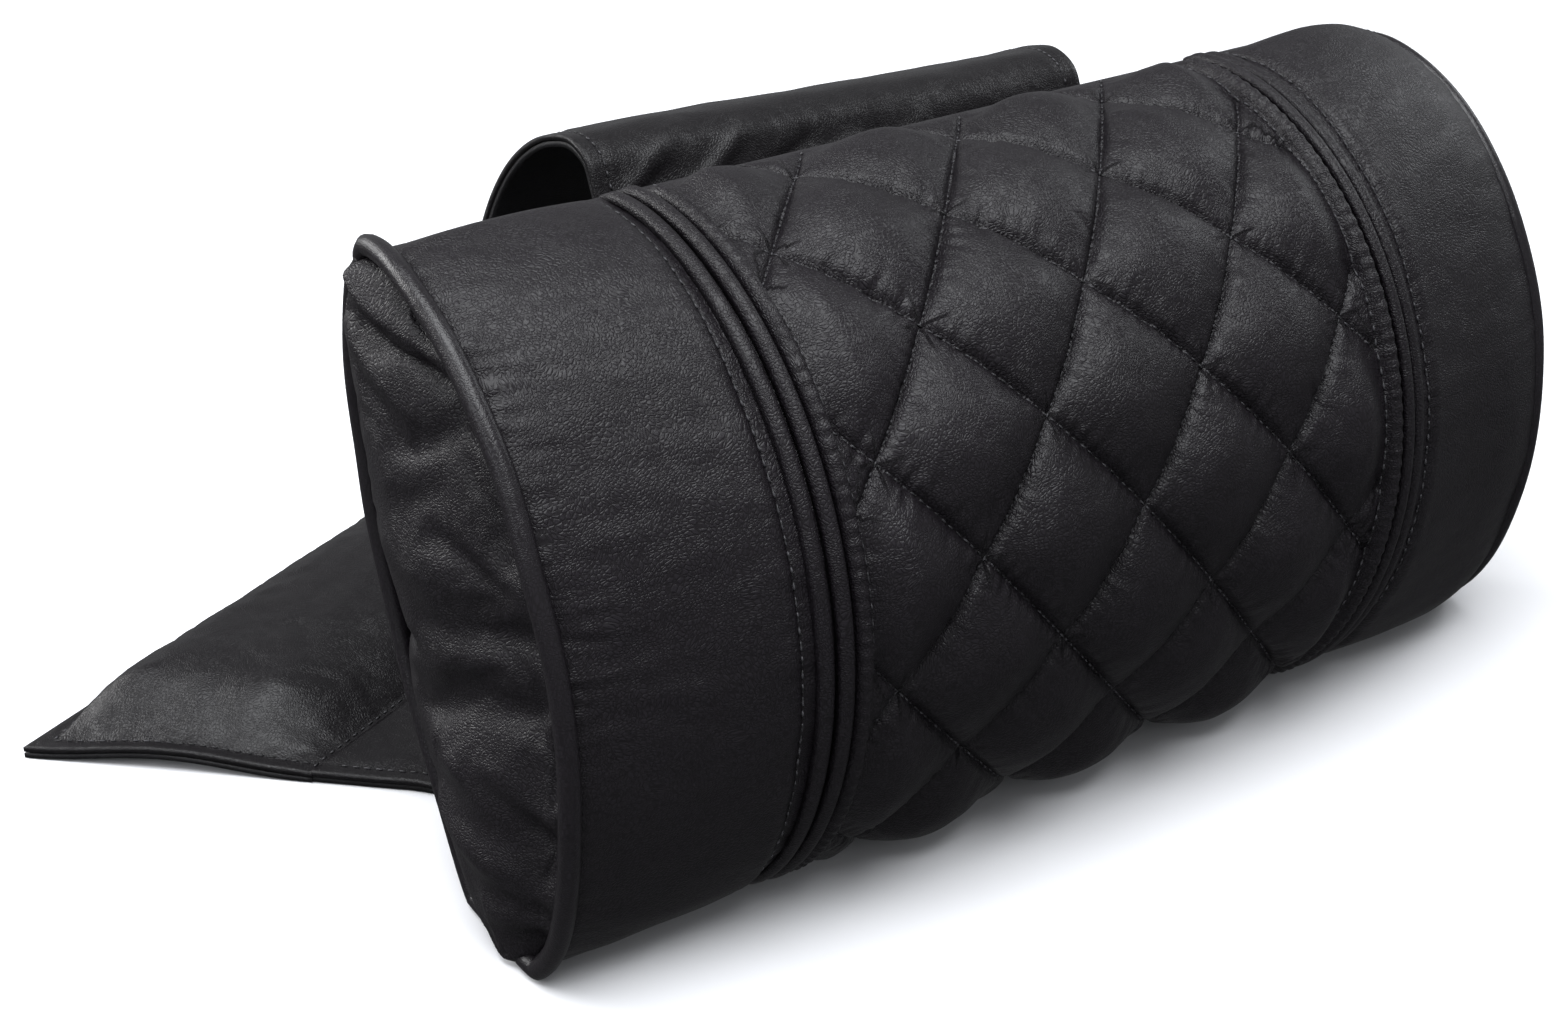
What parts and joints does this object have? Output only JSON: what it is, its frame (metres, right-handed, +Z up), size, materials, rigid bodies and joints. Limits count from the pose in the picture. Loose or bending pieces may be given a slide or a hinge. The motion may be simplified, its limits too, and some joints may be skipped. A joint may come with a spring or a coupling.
{
  "type": "neck roll cushion",
  "caption": "Quilted black leather neck-roll cushion with piped ends and a counterweighted leather flap that hangs over a chair back.",
  "frame": {"origin": "on the floor under the middle of the roll, where its front and back panels meet", "axes": "+X along the roll, +Y to the back, the side that rests on a chair, +Z up"},
  "size_m": [0.4852, 0.3271, 0.2138],
  "materials": {
    "leather": "satin",
    "lining": "matte",
    "thread": "matte",
    "wadding": "matte",
    "filling": "matte",
    "cord": "matte",
    "zip_tape": "matte",
    "zip_coil": "satin",
    "zip_metal": "satin",
    "bag_cloth": "matte",
    "steel": "satin"
  },
  "bodies": {
    "bolster": {"quilted_panel": "leather", "quilt_wadding": "wadding", "side_band_left": "leather", "side_band_right": "leather", "seam_piping_left": "leather", "seam_piping_right": "leather", "tuck_fold_left": "leather", "tuck_fold_right": "leather", "end_cap_left": "leather", "end_cap_right": "leather", "end_piping_front_left": "leather", "end_piping_front_right": "leather", "end_piping_back_left": "leather", "end_piping_back_right": "leather", "piping_cords": "cord", "back_panel_upper": "leather", "back_panel_lower": "leather", "zip_tape_upper": "zip_tape", "zip_tape_lower": "zip_tape", "zip_coil": "zip_coil", "zip_stops": "zip_metal", "inner_cushion": "filling", "flap_seam_strip": "leather", "loop_outer_leather": "leather", "loop_lining": "lining"},
    "flap": {"flap_outer_leather": "leather", "flap_lining": "lining"},
    "pocket": {"pocket_top_leather": "leather", "pocket_base_leather": "lining", "weight_bag": "bag_cloth", "weight_plates": "steel"},
    "slider": {"zip_slider": "zip_metal"},
    "pull": {"zip_pull": "zip_metal"}
  },
  "joints": [
    {"name": "flap_lift", "type": "hinge", "parent": "bolster", "child": "flap", "pos_m": [0, 0.126, 0.205], "axis": [1, 0, 0], "range_deg": [0, 95]},
    {"name": "pocket_fold", "type": "hinge", "parent": "flap", "child": "pocket", "pos_m": [-0.212, 0.124, 0.0051], "axis": [0.9018, 0.4321, 0], "range_deg": [0, 75]},
    {"name": "zip_slide", "type": "slide", "parent": "bolster", "child": "slider", "axis": [1, 0, 0], "range_m": [-0.285, 0]},
    {"name": "zip_pull_swing", "type": "hinge", "parent": "slider", "child": "pull", "pos_m": [0.1385, 0.05497, 0.0452], "axis": [1, 0, 0], "range_deg": [0, 120]}
  ]
}
